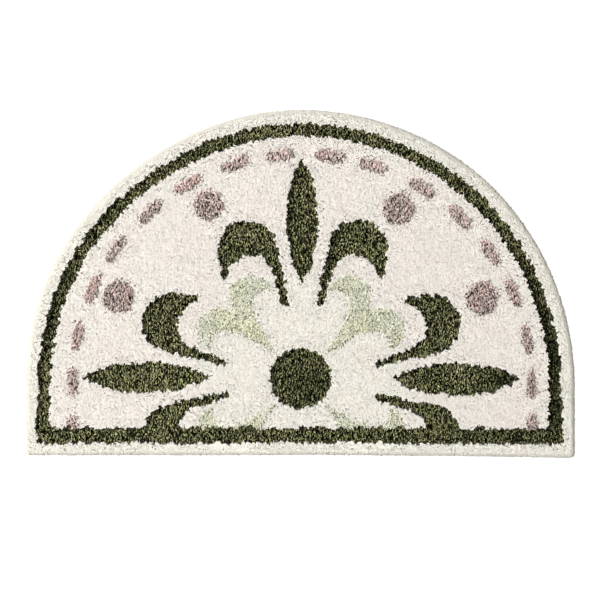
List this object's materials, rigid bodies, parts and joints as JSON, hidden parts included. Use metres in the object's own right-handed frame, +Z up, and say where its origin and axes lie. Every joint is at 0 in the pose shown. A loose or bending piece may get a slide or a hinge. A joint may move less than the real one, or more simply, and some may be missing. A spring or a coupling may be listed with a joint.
{
  "type": "half-round bath mat",
  "caption": "Half-round tufted bath mat in ivory cut pile, with a lower green border line and a rosette of leaves, dots and dashes, lying flat on the floor.",
  "frame": {"origin": "middle of the mat's bounding box, on the surface that it lies on", "axes": "+X along the straight edge, to the right in the picture; +Y from the straight edge to the top of the round edge; +Z up out of the pile"},
  "size_m": [0.7999, 0.5071, 0.0187],
  "materials": {
    "pile": "soft matt cut pile, ivory with dark green, sage and mauve areas"
  },
  "bodies": {
    "root": {"tufted_mat": "pile"}
  },
  "joints": []
}
